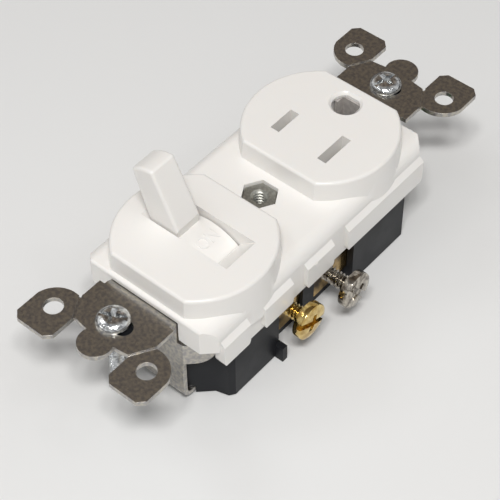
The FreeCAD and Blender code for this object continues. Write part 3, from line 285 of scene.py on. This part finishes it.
world = bpy.data.worlds.new("pale_room")
bpy.context.scene.world = world
world.use_nodes = True
sky = world.node_tree
background = sky.nodes["Background"]
background.inputs["Strength"].default_value = 1.0
direction = sky.nodes.new("ShaderNodeTexCoord").outputs["Generated"]
axes = sky.nodes.new("ShaderNodeSeparateXYZ")
sky.links.new(direction, axes.inputs[0])
height = axes.outputs["Z"]

# What the camera and the mirrors see: a skirting, then walls that darken upwards.
over_skirting = span(sky, height, 0.12, 0.34, kind="SMOOTHSTEP")
shown = mixed(sky, over_skirting, SKIRTING, mixed(sky, height, WALL_LOW, WALL_HIGH))

# What lights matt surfaces: mostly the ceiling.
cast = mixed(sky, calculated(sky, "MULTIPLY", height, height), CAST_LOW, CAST_HIGH)

path = sky.nodes.new("ShaderNodeLightPath")
seen = path.outputs["Is Camera Ray"]
for kind in ("Is Glossy Ray", "Is Transmission Ray"):
    seen = calculated(sky, "MAXIMUM", seen, path.outputs[kind])

# The dark side: full near its middle, gone at its rim.
facing = sky.nodes.new("ShaderNodeVectorMath")
facing.operation = "DOT_PRODUCT"
facing.inputs[1].default_value = direction_of(DARK_AZIMUTH, DARK_ELEVATION)
sky.links.new(direction, facing.inputs[0])
darkness = span(sky, facing.outputs["Value"], math.cos(math.radians(DARK_RIM)),
                math.cos(math.radians(DARK_CORE)), kind="SMOOTHSTEP")
sky.links.new(mixed(sky, darkness, mixed(sky, seen, cast, shown), DARK_COLOUR),
              background.inputs["Color"])
bpy.context.scene.view_settings.view_transform = "Standard"


# %% [markdown]
# ## Finishes
#
# Each finish is a small node tree on Object coordinates, so a pattern keeps its real size: the
# grain of moulded plastic is a fraction of a millimetre, and so are the clouds on the plating.
#
# ### Moulded plastics
#
# The cover and the lever are glossy thermoplastic: a warm white that lets a little light in,
# with a gloss that varies slightly over a few millimetres and a few specks of dust. The black
# base is a satin phenolic moulding with a fine grain.

# %% Plastics
GRAIN_DEPTH = 0.03 * MM


def moulded_plastic(name, colour, shade, gloss, grain, grain_size):
    """A moulded plastic: colour drifts a little to a shade, and the gloss drifts too."""
    material, tree, shader = new_material(name)
    drift = noise(tree, 60, 3)
    specks = span(tree, noise(tree, 3000, 1), 0.76, 0.82, to_high=0.30)
    base = mixed(tree, span(tree, drift, 0.35, 0.65), colour, shade)
    dusty = mixed(tree, specks, base, tuple(c * 0.72 for c in shade))
    tree.links.new(dusty, shader.inputs["Base Color"])
    tree.links.new(span(tree, noise(tree, 160, 4), 0.3, 0.7, gloss[0], gloss[1]),
                   shader.inputs["Roughness"])
    bumped(tree, shader, noise(tree, grain_size, 3), grain, GRAIN_DEPTH)
    return material, shader


white_plastic, white_shader = moulded_plastic(
    "white_plastic", (0.865, 0.848, 0.822), (0.858, 0.841, 0.815), (0.22, 0.27), 0.08, 1500)
white_shader.inputs["Specular IOR Level"].default_value = 0.4
white_shader.inputs["Subsurface Weight"].default_value = 0.12
white_shader.inputs["Subsurface Radius"].default_value = (0.0012, 0.0010, 0.0008)
white_shader.inputs["Subsurface Scale"].default_value = 1.0
black_plastic, black_shader = moulded_plastic(
    "black_plastic", (0.012, 0.013, 0.016), (0.017, 0.018, 0.021), (0.36, 0.48), 0.30, 2600)
black_shader.inputs["Specular IOR Level"].default_value = 0.18

# %% [markdown]
# ### Metals
#
# The strap is zinc-plated sheet, a dull and finely clouded mirror. The screws are brighter:
# zinc, brass, nickel, and one in green, with a slight hammering that breaks up what they mirror.
# The brass and nickel ones cloud over to darker patches, which are painted dark reflection.
# The brass of the contacts has lines from its rolling, and it clouds over to near black: painted
# dark reflection of the black housing round it.

# %% Metals
RELIEF_UNIT = 0.02 * MM


def plated_metal(name, colour, shade, polish, lines=(1, 1, 1), line_size=400, relief=0.1,
                 cloud_size=220):
    """A plated metal that clouds over to a darker colour, on some metals painted dark
    reflection; its relief has lines where it's stretched.
    """
    material, tree, shader = new_material(name)
    shader.inputs["Metallic"].default_value = 1.0
    cloud = span(tree, noise(tree, cloud_size, 4), 0.38, 0.62)
    streak = noise(tree, line_size, 5, 0.65, stretch=lines)
    tree.links.new(mixed(tree, cloud, colour, shade), shader.inputs["Base Color"])
    tree.links.new(span(tree, streak, 0.3, 0.7, polish[0], polish[1]),
                   shader.inputs["Roughness"])
    bumped(tree, shader, streak, 1.0, relief * RELIEF_UNIT)
    return material


strap_steel = plated_metal("strap_steel", (0.55, 0.52, 0.455), (0.36, 0.35, 0.35),
                           (0.26, 0.38), line_size=2500, relief=0.10, cloud_size=1300)
zinc_screw = plated_metal("zinc_screw", (0.92, 0.93, 0.92), (0.42, 0.43, 0.44), (0.05, 0.14),
                          line_size=1300, relief=3.0, cloud_size=1100)
# The darker brass that this screw clouds over to is painted dark reflection.
brass_screw = plated_metal("brass_screw", (0.84, 0.66, 0.29), (0.50, 0.33, 0.10), (0.06, 0.15),
                           line_size=800, relief=0.6, cloud_size=600)
# The near-black nickel that this screw clouds over to is painted dark reflection.
nickel_screw = plated_metal("nickel_screw", (0.56, 0.52, 0.45), (0.15, 0.13, 0.11),
                            (0.08, 0.22), line_size=1100, relief=1.4, cloud_size=900)
green_screw = plated_metal("green_screw", (0.13, 0.36, 0.17), (0.09, 0.28, 0.12), (0.16, 0.26))
# The contacts' brass clouds over to near black: painted dark reflection of the black housing.
contact_brass = plated_metal("contact_brass", (0.62, 0.42, 0.16), (0.07, 0.045, 0.02),
                             (0.10, 0.26), lines=(0.5, 6, 0.5), cloud_size=260)
contact_silver = plated_metal("contact_silver", (0.86, 0.86, 0.85), (0.76, 0.76, 0.75),
                              (0.18, 0.30))
spring_steel = plated_metal("spring_steel", (0.56, 0.57, 0.59), (0.46, 0.47, 0.49),
                            (0.18, 0.28))
dull_steel = plated_metal("dull_steel", (0.66, 0.63, 0.60), (0.55, 0.52, 0.50), (0.50, 0.62),
                          cloud_size=900)
post_steel = plated_metal("post_steel", (0.46, 0.46, 0.42), (0.32, 0.32, 0.29), (0.30, 0.42),
                          cloud_size=1500)
for material, metallic in ((dull_steel, 0.45), (post_steel, 0.82)):
    material.node_tree.nodes["Principled BSDF"].inputs["Metallic"].default_value = metallic


# %% [markdown]
# ## Softened mouldings
#
# No moulded or pressed edge is knife-sharp: the small radius on each one catches the light as a
# fine bright line. A copy of each solid is merged into one surface, its flat faces are joined,
# and a Bevel rounds the corners that are sharper than a set angle.

# %% Softened copies
MERGE_DISTANCE = 0.002 * MM
FLAT_ANGLE = 0.4                # degrees; flatter edges than this are taken out
SHARP_ANGLE = 30                # degrees; sharper corners than this are rounded


def softened(node, body, slot, material, width):
    """A copy of a CAD node with its corners rounded, standing for the node."""
    mesh = nodes[node].data.copy()
    work = bmesh.new()
    work.from_mesh(mesh)
    bmesh.ops.remove_doubles(work, verts=work.verts, dist=MERGE_DISTANCE)
    bmesh.ops.dissolve_limit(work, angle_limit=math.radians(FLAT_ANGLE), verts=work.verts,
                             edges=work.edges)
    work.to_mesh(mesh)
    work.free()
    piece = placed(f"{node}_finished", coated(mesh, material))
    for polygon in mesh.polygons:
        polygon.use_smooth = True
    bevel = piece.modifiers.new("soft_corners", "BEVEL")
    bevel.width = width
    bevel.segments = 2
    bevel.limit_method = "ANGLE"
    bevel.angle_limit = math.radians(SHARP_ANGLE)
    bevel.use_clamp_overlap = True
    weights = piece.modifiers.new("flat_faces_lead", "WEIGHTED_NORMAL")
    weights.weight = 100
    finished = plain_mesh(piece)
    piece.modifiers.clear()
    piece.data = finished
    return declared(piece, body, slot, node)


softened("cover", "body", "white_plastic", white_plastic, 0.18 * MM)
softened("housing", "body", "black_plastic", black_plastic, 0.20 * MM)
softened("strap", "body", "zinc_steel", strap_steel, 0.10 * MM)
softened("toggle_lever", "toggle", "white_plastic", white_plastic, 0.15 * MM)


# %% [markdown]
# ## Screws
#
# A machine screw is a turned head on a threaded shank. The thread follows a rule, so Geometry
# Nodes make it: each row of a cylinder is pushed in and out by how far it has come round the
# helix. The heads are turned from a profile, and a slot with a cross is sunk into each.

# %% Thread tree


def thread_tree():
    """A Geometry Nodes tree that makes a threaded rod along Z, its tip at the low end."""
    tree = bpy.data.node_groups.new("threaded_rod", "GeometryNodeTree")
    tree.interface.new_socket("Geometry", in_out="OUTPUT", socket_type="NodeSocketGeometry")
    for name, kind in (("Crest Radius", "Float"), ("Depth", "Float"), ("Pitch", "Float"),
                       ("Length", "Float"), ("Taper", "Float"), ("Rows", "Int"),
                       ("Facets", "Int"), ("Finish", "Material")):
        tree.interface.new_socket(name, in_out="INPUT", socket_type="NodeSocket" + kind)
    given = tree.nodes.new("NodeGroupInput")
    result = tree.nodes.new("NodeGroupOutput")
    calculate = partial(calculated, tree)

    rod = tree.nodes.new("GeometryNodeMeshCylinder")
    for socket, name in (("Vertices", "Facets"), ("Side Segments", "Rows"),
                         ("Radius", "Crest Radius"), ("Depth", "Length")):
        tree.links.new(given.outputs[name], rod.inputs[socket])
    place = tree.nodes.new("GeometryNodeInputPosition")
    axes = tree.nodes.new("ShaderNodeSeparateXYZ")
    tree.links.new(place.outputs[0], axes.inputs[0])
    x, y, z = axes.outputs
    turns = calculate("DIVIDE", calculate("ARCTAN2", y, x), 2 * math.pi)
    phase = calculate("FRACT", calculate("SUBTRACT",
                                         calculate("DIVIDE", z, given.outputs["Pitch"]), turns))
    wave = calculate("ABSOLUTE", calculate("SUBTRACT", calculate("MULTIPLY", phase, 2.0), 1.0))
    flank = calculate("MINIMUM", calculate("MULTIPLY", wave, 1.18), 1.0)
    sunk = calculate("MULTIPLY", flank, given.outputs["Depth"])
    above_tip = calculate("ADD", z, calculate("MULTIPLY", given.outputs["Length"], 0.5))
    taper = calculate("MINIMUM", calculate("DIVIDE", above_tip, given.outputs["Taper"]), 1.0)
    narrowed = calculate("MULTIPLY", calculate("SUBTRACT", 1.0, taper),
                         given.outputs["Depth"])
    depth = calculate("MAXIMUM", sunk, calculate("MULTIPLY", narrowed, 1.4))
    share = calculate("SUBTRACT", 1.0, calculate("DIVIDE", depth,
                                                 given.outputs["Crest Radius"]))
    moved = tree.nodes.new("ShaderNodeCombineXYZ")
    tree.links.new(calculate("MULTIPLY", x, share), moved.inputs[0])
    tree.links.new(calculate("MULTIPLY", y, share), moved.inputs[1])
    tree.links.new(z, moved.inputs[2])
    shift = tree.nodes.new("GeometryNodeSetPosition")
    tree.links.new(rod.outputs["Mesh"], shift.inputs["Geometry"])
    tree.links.new(moved.outputs[0], shift.inputs["Position"])
    realize = tree.nodes.new("GeometryNodeRealizeInstances")
    coat = tree.nodes.new("GeometryNodeSetMaterial")
    tree.links.new(shift.outputs[0], realize.inputs[0])
    tree.links.new(realize.outputs[0], coat.inputs["Geometry"])
    tree.links.new(given.outputs["Finish"], coat.inputs["Material"])
    tree.links.new(coat.outputs[0], result.inputs[0])
    return tree


threaded_rod = thread_tree()
PITCH = 0.794 * MM          # 32 threads to the inch
THREAD_DEPTH = 0.40 * MM
CREST = 1.73 * MM


def threaded_mesh(length, material, crest=CREST, taper=0.8 * MM, facets=36):
    """The mesh of a threaded rod from the tree, centred on the origin."""
    holder = placed("threaded", bpy.data.meshes.new("threaded"))
    modifier = holder.modifiers.new("thread", "NODES")
    modifier.node_group = threaded_rod
    sockets = {s.name: s.identifier for s in threaded_rod.interface.items_tree
               if s.in_out == "INPUT"}
    rows = int(length / PITCH * 12)
    for name, value in (("Crest Radius", crest), ("Depth", THREAD_DEPTH), ("Pitch", PITCH),
                        ("Length", length), ("Taper", taper), ("Rows", rows),
                        ("Facets", facets), ("Finish", material)):
        modifier[sockets[name]] = value
    mesh = plain_mesh(holder)
    bpy.data.objects.remove(holder)
    return mesh


# %% Turned heads and drive recesses


def turned_mesh(name, profile, segments=72):
    """A closed solid of revolution about Z from (radius, height) points, pole to pole."""
    work = bmesh.new()
    rings = []
    for radius, height in profile:
        if radius == 0:
            rings.append([work.verts.new((0, 0, height))])
            continue
        rings.append([work.verts.new((radius * math.cos(2 * math.pi * i / segments),
                                      radius * math.sin(2 * math.pi * i / segments), height))
                      for i in range(segments)])
    for low, high in zip(rings, rings[1:]):
        for i in range(segments):
            j = (i + 1) % segments
            if len(low) == 1:
                work.faces.new((low[0], high[j], high[i]))
            elif len(high) == 1:
                work.faces.new((low[i], low[j], high[0]))
            else:
                work.faces.new((low[i], low[j], high[j], high[i]))
    bmesh.ops.recalc_face_normals(work, faces=work.faces)
    mesh = bpy.data.meshes.new(name)
    work.to_mesh(mesh)
    work.free()
    return mesh


def wedge_mesh(name, top, bottom, high, low):
    """A tapered block: (half length, half width) at the top and at the bottom."""
    corners = [(-1, -1), (1, -1), (1, 1), (-1, 1)]
    points = [(sx * bottom[0], sy * bottom[1], low) for sx, sy in corners]
    points += [(sx * top[0], sy * top[1], high) for sx, sy in corners]
    faces = [(3, 2, 1, 0), (4, 5, 6, 7), (0, 1, 5, 4), (1, 2, 6, 5), (2, 3, 7, 6), (3, 0, 4, 7)]
    mesh = bpy.data.meshes.new(name)
    mesh.from_pydata(points, [], faces)
    return mesh


def combined(mesh, other, operation):
    """One mesh out of two, by union or difference."""
    first = placed("first", mesh)
    second = placed("second", other)
    step = first.modifiers.new("step", "BOOLEAN")
    step.operation = operation
    step.solver = "EXACT"
    step.object = second
    result = plain_mesh(first)
    bpy.data.objects.remove(first)
    bpy.data.objects.remove(second)
    return result


def in_metres(profile):
    return [(r * MM, z * MM) for r, z in profile]


def screw_mesh(name, profile, thread, material, slot, cross):
    """A whole screw from lengths in millimetres, its thread between two heights."""
    head = turned_mesh(name, in_metres(profile))
    top = profile[-1][1] * MM
    thread_low, thread_high = (z * MM for z in thread)
    shank = threaded_mesh(thread_high - thread_low, material)
    shank.transform(Matrix.Translation((0, 0, (thread_low + thread_high) / 2)))
    mesh = combined(head, shank, "UNION")
    half, width, depth = (length * MM for length in slot)
    mesh = combined(mesh, wedge_mesh("slot", (half, width / 2), (half, width / 2),
                                     top + MM, top - depth), "DIFFERENCE")
    reach, width, depth = (length * MM for length in cross)
    for angle in (0, 90):
        blade = wedge_mesh("cross", (reach * 1.25, width * 0.62), (reach * 0.35, width * 0.35),
                           top + 0.4 * MM, top - depth)
        blade.transform(Matrix.Rotation(math.radians(angle), 4, "Z"))
        mesh = combined(mesh, blade, "DIFFERENCE")
    return coated(mesh, material)


def set_screw(mesh, node, slot_name, place):
    """Puts a screw's mesh in its place and has it stand for its node."""
    data = mesh.copy()
    data.transform(place)
    for polygon in data.polygons:
        polygon.use_smooth = True
    data.set_sharp_from_angle(angle=math.radians(32))
    declared(placed(node + "_threaded", data), node, slot_name, node)


# %% Screw shapes
# Profiles and lengths are in millimetres here; a head's seat is at height 0.
TERMINAL_TOP = 2.2
TERMINAL_HEAD = [(0, 0), (3.9, 0), (4.06, 0.08), (4.1, 0.25), (4.1, 1.66), (4.04, 1.82),
                 (3.88, 1.92), (3.2, 2.02), (2.4, 2.1), (1.2, 2.17), (0, TERMINAL_TOP)]
TERMINAL_SLOT = (5, 1.3, 1.2)       # half length, width, depth
TERMINAL_CROSS = (1.9, 1.1, 1.6)    # reach, width, depth
THREAD_TOP = 0.3                    # a terminal screw's thread ends this far inside its head
MOUNT_TOP = 1.9
MOUNT_HEAD = [(0, -2.6), (1.4, -2.6), (1.4, 0), (3.1, 0), (3.38, 0.1), (3.45, 0.32),
              (3.36, 0.7), (3.1, 1.08), (2.6, 1.44), (1.9, 1.7), (1.0, 1.86), (0, MOUNT_TOP)]
MOUNT_SLOT = (5, 0.95, 0.65)
MOUNT_CROSS = (1.75, 1.0, 1.35)


def terminal_screw(material, thread_low):
    return screw_mesh("terminal_screw", TERMINAL_HEAD, (thread_low, THREAD_TOP), material,
                      TERMINAL_SLOT, TERMINAL_CROSS)


brass_mesh = terminal_screw(brass_screw, -9.5)
nickel_mesh = terminal_screw(nickel_screw, -9.5)
green_mesh = terminal_screw(green_screw, -6.6)
mount_mesh = screw_mesh("mounting_screw", MOUNT_HEAD, (-19, -2.4), zinc_screw, MOUNT_SLOT,
                        MOUNT_CROSS)

# %% Screws in place


def head_place(node, axis, sign, turn_angle, head_height):
    """Where a screw goes: its head's outer face at the node's outermost face along an axis."""
    low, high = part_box(node)
    centre = (low + high) / 2
    outer = high if sign > 0 else low
    along = Vector([sign if i == axis else 0 for i in range(3)])
    seat = centre.copy()
    seat[axis] = outer[axis] - sign * head_height
    turned = along.to_track_quat("Z", "Y").to_matrix().to_4x4()
    return Matrix.Translation(seat) @ turned @ Matrix.Rotation(math.radians(turn_angle), 4, "Z")


for node, mesh, slot_name, axis, sign, angle in (
        ("switched_screw", brass_mesh, "screw_brass", 0, 1, -23),
        ("neutral_screw", nickel_mesh, "nickel", 0, 1, -53),
        ("line_screw_switch", brass_mesh, "screw_brass", 0, -1, 35),
        ("line_screw_outlet", brass_mesh, "screw_brass", 0, -1, -20),
        ("ground_screw", green_mesh, "green_screw", 1, 1, 15)):
    set_screw(mesh, node, slot_name, head_place(node, axis, sign, angle, TERMINAL_TOP * MM))
mount_places = {node: head_place(node, 2, 1, angle, MOUNT_TOP * MM) for node, angle in (
    ("mounting_screw_switch_end", 28), ("mounting_screw_outlet_end", 74))}
for node, place in mount_places.items():
    set_screw(mount_mesh, node, "zinc_screw", place)

# %% Retaining washers
# A black washer on each mounting screw's neck keeps it in the strap's slot.
WASHER = [(0, -1.85), (4.2, -1.85), (4.3, -1.75), (4.3, -1.25), (4.2, -1.15), (0, -1.15)]
WASHER_BORE = [(0, -3), (1.45, -3), (1.45, 0), (0, 0)]
washer_mesh = combined(turned_mesh("washer", in_metres(WASHER), 48),
                       turned_mesh("bore", in_metres(WASHER_BORE), 36), "DIFFERENCE")
coated(washer_mesh, black_plastic)
for node, place in mount_places.items():
    ring = washer_mesh.copy()
    ring.transform(place)
    declared(placed(node + "_washer", ring), node, "black_plastic")


# %% [markdown]
# ## Tapped post
#
# The hexagon post in the middle takes the wall plate's screw. It is tapped as a toolmaker does
# it: a threaded rod is taken out of the solid bar.

# %% Tapped post
POST_FLATS = 6.7 * MM
TAP_DEPTH = 12 * MM
POST_SHOULDER = -22.8 * MM
POST_CHAMFER = 0.25 * MM
corner = POST_FLATS / 2 / math.cos(math.radians(30))
HEXAGON = [(corner * math.cos(math.radians(60 * i)), corner * math.sin(math.radians(60 * i)))
           for i in range(6)]
SPIGOT = [(0, -24.5), (2.9, -24.5), (3.4, -23.9), (2.4, -23.9), (2.4, -22.7), (0, -22.7)]
MOUTH = [(0, -0.5), (1.45, -0.5), (2.0, 0.1), (2.0, 1), (0, 1)]


def post_mesh():
    """The hexagon post with its spigot and peened end, tapped from the top."""
    work = bmesh.new()
    rings = [[work.verts.new((x, y, z)) for x, y in HEXAGON]
             for z in (POST_SHOULDER, -POST_CHAMFER)]
    rings.append([work.verts.new((x * 0.955, y * 0.955, 0)) for x, y in HEXAGON])
    work.faces.new(rings[0][::-1])
    for low, high in zip(rings, rings[1:]):
        for i in range(6):
            j = (i + 1) % 6
            work.faces.new((low[i], low[j], high[j], high[i]))
    work.faces.new(rings[-1])
    mesh = bpy.data.meshes.new("post")
    work.to_mesh(mesh)
    work.free()
    mesh = combined(mesh, turned_mesh("spigot", in_metres(SPIGOT), 48), "UNION")
    tap = threaded_mesh(TAP_DEPTH + 2 * MM, strap_steel, crest=1.75 * MM, taper=0.05 * MM)
    tap.transform(Matrix.Translation((0, 0, -TAP_DEPTH / 2 + MM)))
    mesh = combined(mesh, tap, "DIFFERENCE")
    mesh = combined(mesh, turned_mesh("mouth", in_metres(MOUTH), 48), "DIFFERENCE")
    mesh.set_sharp_from_angle(angle=math.radians(30))
    return coated(mesh, post_steel)


declared(placed("centre_post_tapped", post_mesh()), "body", "zinc_steel", "centre_post")


# %% [markdown]
# ## Raised words on the toggle
#
# The two words stand two tenths of a millimetre proud of the toggle's round skirt, one on each
# side of the lever, so that only the one for the present state shows. Each is a text object made
# into a mesh and then wrapped round the pivot.

# %% Raised words
PIVOT = Vector((-0.7 * MM, 0, -8.0 * MM))
SKIRT_RADIUS = 11.65 * MM
LEVER_LEAN = 22                 # degrees from upright, at rest
WORD_Y = -17.45 * MM
WORD_HEIGHT = 2.7 * MM
WORD_FOOT = 39.5                # degrees from the lever to the feet of the letters
WORD_RELIEF = 0.22 * MM
WORD_SUNK = 0.2 * MM            # how far each letter goes into the skirt


def wrapped_word(text, width, side):
    """A word on the toggle's skirt, its top towards the lever; side is +1 for the +X side."""
    curve = bpy.data.curves.new("word", "FONT")
    curve.body = text
    curve.extrude = 0.5
    curve.resolution_u = 6
    holder = placed("word", curve)
    mesh = plain_mesh(holder)
    bpy.data.objects.remove(holder)
    work = bmesh.new()
    work.from_mesh(mesh)
    bmesh.ops.remove_doubles(work, verts=work.verts, dist=0.0001)
    xs = [v.co.x for v in work.verts]
    ys = [v.co.y for v in work.verts]
    middle = (max(xs) + min(xs)) / 2
    stretch = width / (max(xs) - min(xs))
    tall = WORD_HEIGHT / (max(ys) - min(ys))
    for v in work.verts:
        across = (v.co.x - middle) * stretch
        rise = (v.co.y - min(ys)) * tall
        from_lever = math.radians(WORD_FOOT) - rise / SKIRT_RADIUS
        radius = SKIRT_RADIUS + (WORD_RELIEF if v.co.z > 0 else -WORD_SUNK)
        angle = side * from_lever - math.radians(LEVER_LEAN)
        v.co = Vector((PIVOT.x + radius * math.sin(angle), WORD_Y + side * across,
                       PIVOT.z + radius * math.cos(angle)))
    bmesh.ops.recalc_face_normals(work, faces=work.faces)
    work.to_mesh(mesh)
    work.free()
    declared(placed("word_" + text.lower(), coated(mesh, white_plastic)),
             "toggle", "white_plastic")


wrapped_word("ON", 4.9 * MM, 1)
wrapped_word("OFF", 5.6 * MM, -1)


# %% [markdown]
# ## The inside
#
# The contacts keep the shapes that they have in the model and get their own metals.

# %% Finishes for the carried-over nodes
# The contact brass here carries painted dark reflection in its clouds.
for node, material in (
        ("switched_terminal", contact_brass), ("neutral_contact", contact_brass),
        ("line_contact", contact_brass), ("contact_arm", contact_brass),
        ("moving_contact", contact_silver), ("fixed_contact", contact_silver),
        ("ground_contact", dull_steel), ("ground_rivet", strap_steel)):
    for held in nodes[node].material_slots:
        held.link = "OBJECT"
        held.material = material
    print(node, "gets", material.name)

# %% [markdown]
# The contact spring stands on the floor of the chamber and holds the arm up. A copy of it in
# spring steel stands for the node.

# %% Contact spring
spring = placed("contact_spring_coil",
                coated(nodes["contact_spring"].data.copy(), spring_steel))
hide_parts("contact_spring")
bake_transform(spring)
